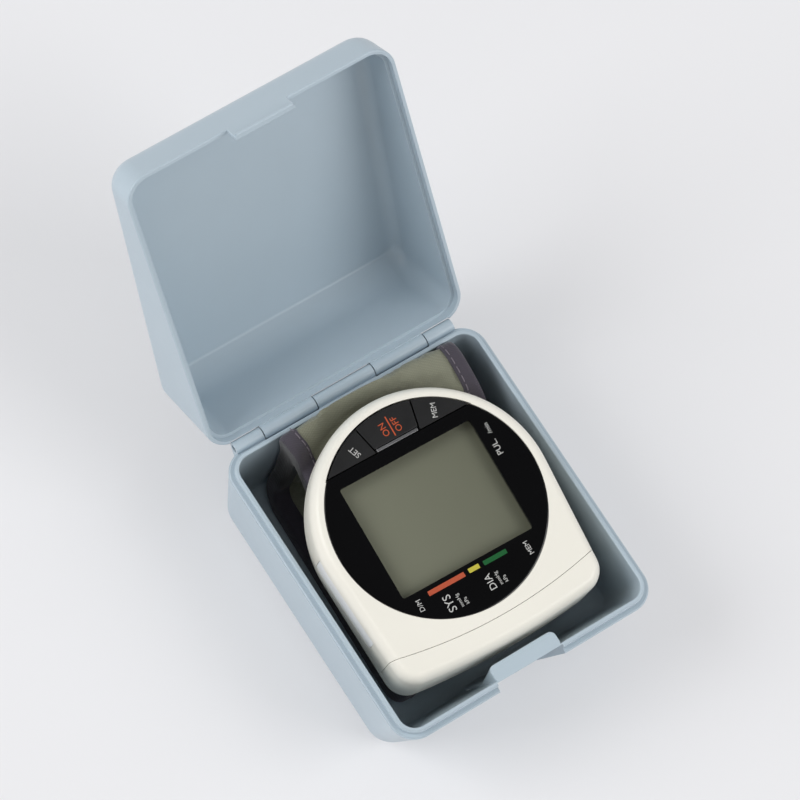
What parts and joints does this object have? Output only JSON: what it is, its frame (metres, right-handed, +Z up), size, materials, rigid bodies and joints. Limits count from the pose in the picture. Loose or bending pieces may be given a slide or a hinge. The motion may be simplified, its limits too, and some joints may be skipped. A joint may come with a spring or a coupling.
{
  "type": "wrist blood pressure monitor",
  "caption": "Wrist blood pressure monitor with a round black face, keys and a looped fabric cuff, lying in an open hinged storage case.",
  "frame": {"origin": "centre of the storage case's flat underside, midway between the ledge's front and rear edges", "axes": "+Z up out of the case, +Y from the latch towards the hinge, +X to the right seen from the latch, along the hinge pin"},
  "size_m": [0.078, 0.1509, 0.1087],
  "materials": {
    "case_plastic": "pale grey-blue polypropylene, soft sheen",
    "steel": "plain steel",
    "housing_plastic": "warm white moulded plastic, satin gloss",
    "face_gloss": "gloss black",
    "window": "clear window pane",
    "lcd": "olive grey unlit liquid crystal display",
    "inner_plastic": "dark moulded plastic",
    "board": "green circuit board laminate",
    "key_plastic": "dark grey, fine matt",
    "silver_plastic": "satin silver",
    "rubber": "soft matt rubber",
    "white_plastic": "natural white plastic",
    "battery_wrap": "printed sleeve on a steel can",
    "spring_metal": "plated contact strip",
    "label": "bare grey film label",
    "cuff_fabric": "grey-olive loop fabric",
    "hook_tape": "dark hook fastener",
    "edge_tape": "dark woven edge tape"
  },
  "bodies": {
    "case": {"case_base": "case_plastic", "hinge_pin": "steel"},
    "lid": {"case_lid": "case_plastic"},
    "monitor": {"front_housing": "housing_plastic", "rear_housing": "housing_plastic", "face_plate": "face_gloss", "display_window": "window", "lcd_panel": "lcd", "lcd_holder": "inner_plastic", "circuit_board": "board", "key_mat": "rubber", "pump_motor": "steel", "pump_head": "white_plastic", "air_valve": "inner_plastic", "air_hose": "rubber", "air_port": "white_plastic", "pressure_sensor": "inner_plastic", "buzzer": "inner_plastic", "battery_front": "battery_wrap", "battery_rear": "battery_wrap", "contact_link": "spring_metal", "contact_plate_front": "spring_metal", "contact_plate_rear": "spring_metal", "contact_spring_front": "spring_metal", "contact_spring_rear": "spring_metal", "housing_screw_1": "steel", "housing_screw_2": "steel", "housing_screw_3": "steel", "housing_screw_4": "steel", "side_label": "label", "cuff_cover": "cuff_fabric", "cuff_lining": "cuff_fabric", "cuff_bladder": "rubber", "cuff_stiffener": "inner_plastic", "cuff_hook_patch": "hook_tape", "cuff_tape_left": "edge_tape", "cuff_tape_right": "edge_tape"},
    "battery_door": {"battery_cover": "housing_plastic"},
    "set_button": {"set_key": "key_plastic"},
    "on_off_button": {"on_off_key": "key_plastic", "on_off_key_bar": "silver_plastic"},
    "mem_button": {"mem_key": "key_plastic"}
  },
  "joints": [
    {"name": "lid_hinge", "type": "hinge", "parent": "case", "child": "lid", "pos_m": [0, 0.0456, 0.03265], "axis": [-1, 0, 0], "range_deg": [-125, 0]},
    {"name": "monitor_lift", "type": "slide", "parent": "case", "child": "monitor", "axis": [0, 0, 1], "range_m": [0, 0.08]},
    {"name": "battery_cover_lift", "type": "slide", "parent": "monitor", "child": "battery_door", "axis": [-0.0029, -0.1097, 0.994], "range_m": [0, 0.025]},
    {"name": "set_key_press", "type": "slide", "parent": "monitor", "child": "set_button", "axis": [0.0029, 0.1097, -0.994], "range_m": [0, 0.0006], "stiffness_N_per_m": 2000},
    {"name": "on_off_key_press", "type": "slide", "parent": "monitor", "child": "on_off_button", "axis": [0.0029, 0.1097, -0.994], "range_m": [0, 0.0006], "stiffness_N_per_m": 2000},
    {"name": "mem_key_press", "type": "slide", "parent": "monitor", "child": "mem_button", "axis": [0.0029, 0.1097, -0.994], "range_m": [0, 0.0006], "stiffness_N_per_m": 2000}
  ]
}
